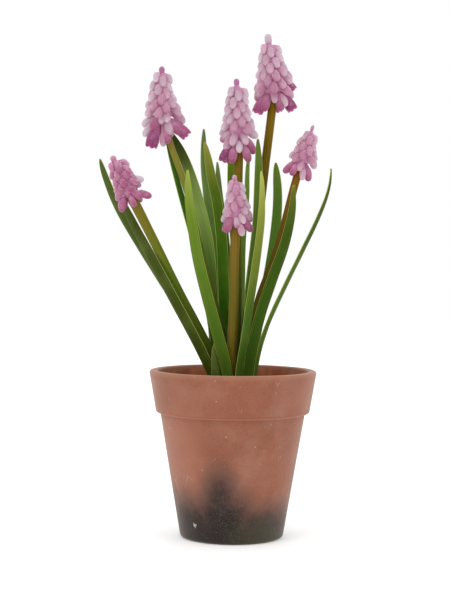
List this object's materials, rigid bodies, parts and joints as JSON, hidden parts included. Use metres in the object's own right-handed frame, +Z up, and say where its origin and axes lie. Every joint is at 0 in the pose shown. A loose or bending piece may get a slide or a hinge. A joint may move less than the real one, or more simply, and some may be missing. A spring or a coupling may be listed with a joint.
{
  "type": "potted grape hyacinth",
  "caption": "Pink grape hyacinth in a small terracotta pot: flower heads on fleshy stalks among channelled strap leaves, rooted in soil.",
  "frame": {"origin": "middle of the underside of the whole object's bounding box, on the surface the pot stands on", "axes": "+Z up, +X to the right and +Y away from a viewer who faces the plant's front"},
  "size_m": [0.1254, 0.09, 0.2726],
  "materials": {
    "terracotta": "matte",
    "soil": "matte",
    "bulb": "matte",
    "stalk": "satin",
    "leaf": "satin",
    "floret": "matte"
  },
  "bodies": {
    "root": {"pot": "terracotta", "soil": "soil", "bulb_1": "bulb", "bulb_2": "bulb", "bulb_3": "bulb", "bulb_4": "bulb", "stem_1": "stalk", "stem_2": "stalk", "stem_3": "stalk", "stem_4": "stalk", "stem_5": "stalk", "stem_6": "stalk", "head_1": "floret", "head_2": "floret", "head_3": "floret", "head_4": "floret", "head_5": "floret", "head_6": "floret", "leaf_01": "leaf", "leaf_02": "leaf", "leaf_03": "leaf", "leaf_04": "leaf", "leaf_05": "leaf", "leaf_06": "leaf", "leaf_07": "leaf", "leaf_08": "leaf", "leaf_09": "leaf", "leaf_10": "leaf", "leaf_11": "leaf", "leaf_12": "leaf", "leaf_13": "leaf", "leaf_14": "leaf", "leaf_15": "leaf", "leaf_16": "leaf"}
  },
  "joints": []
}
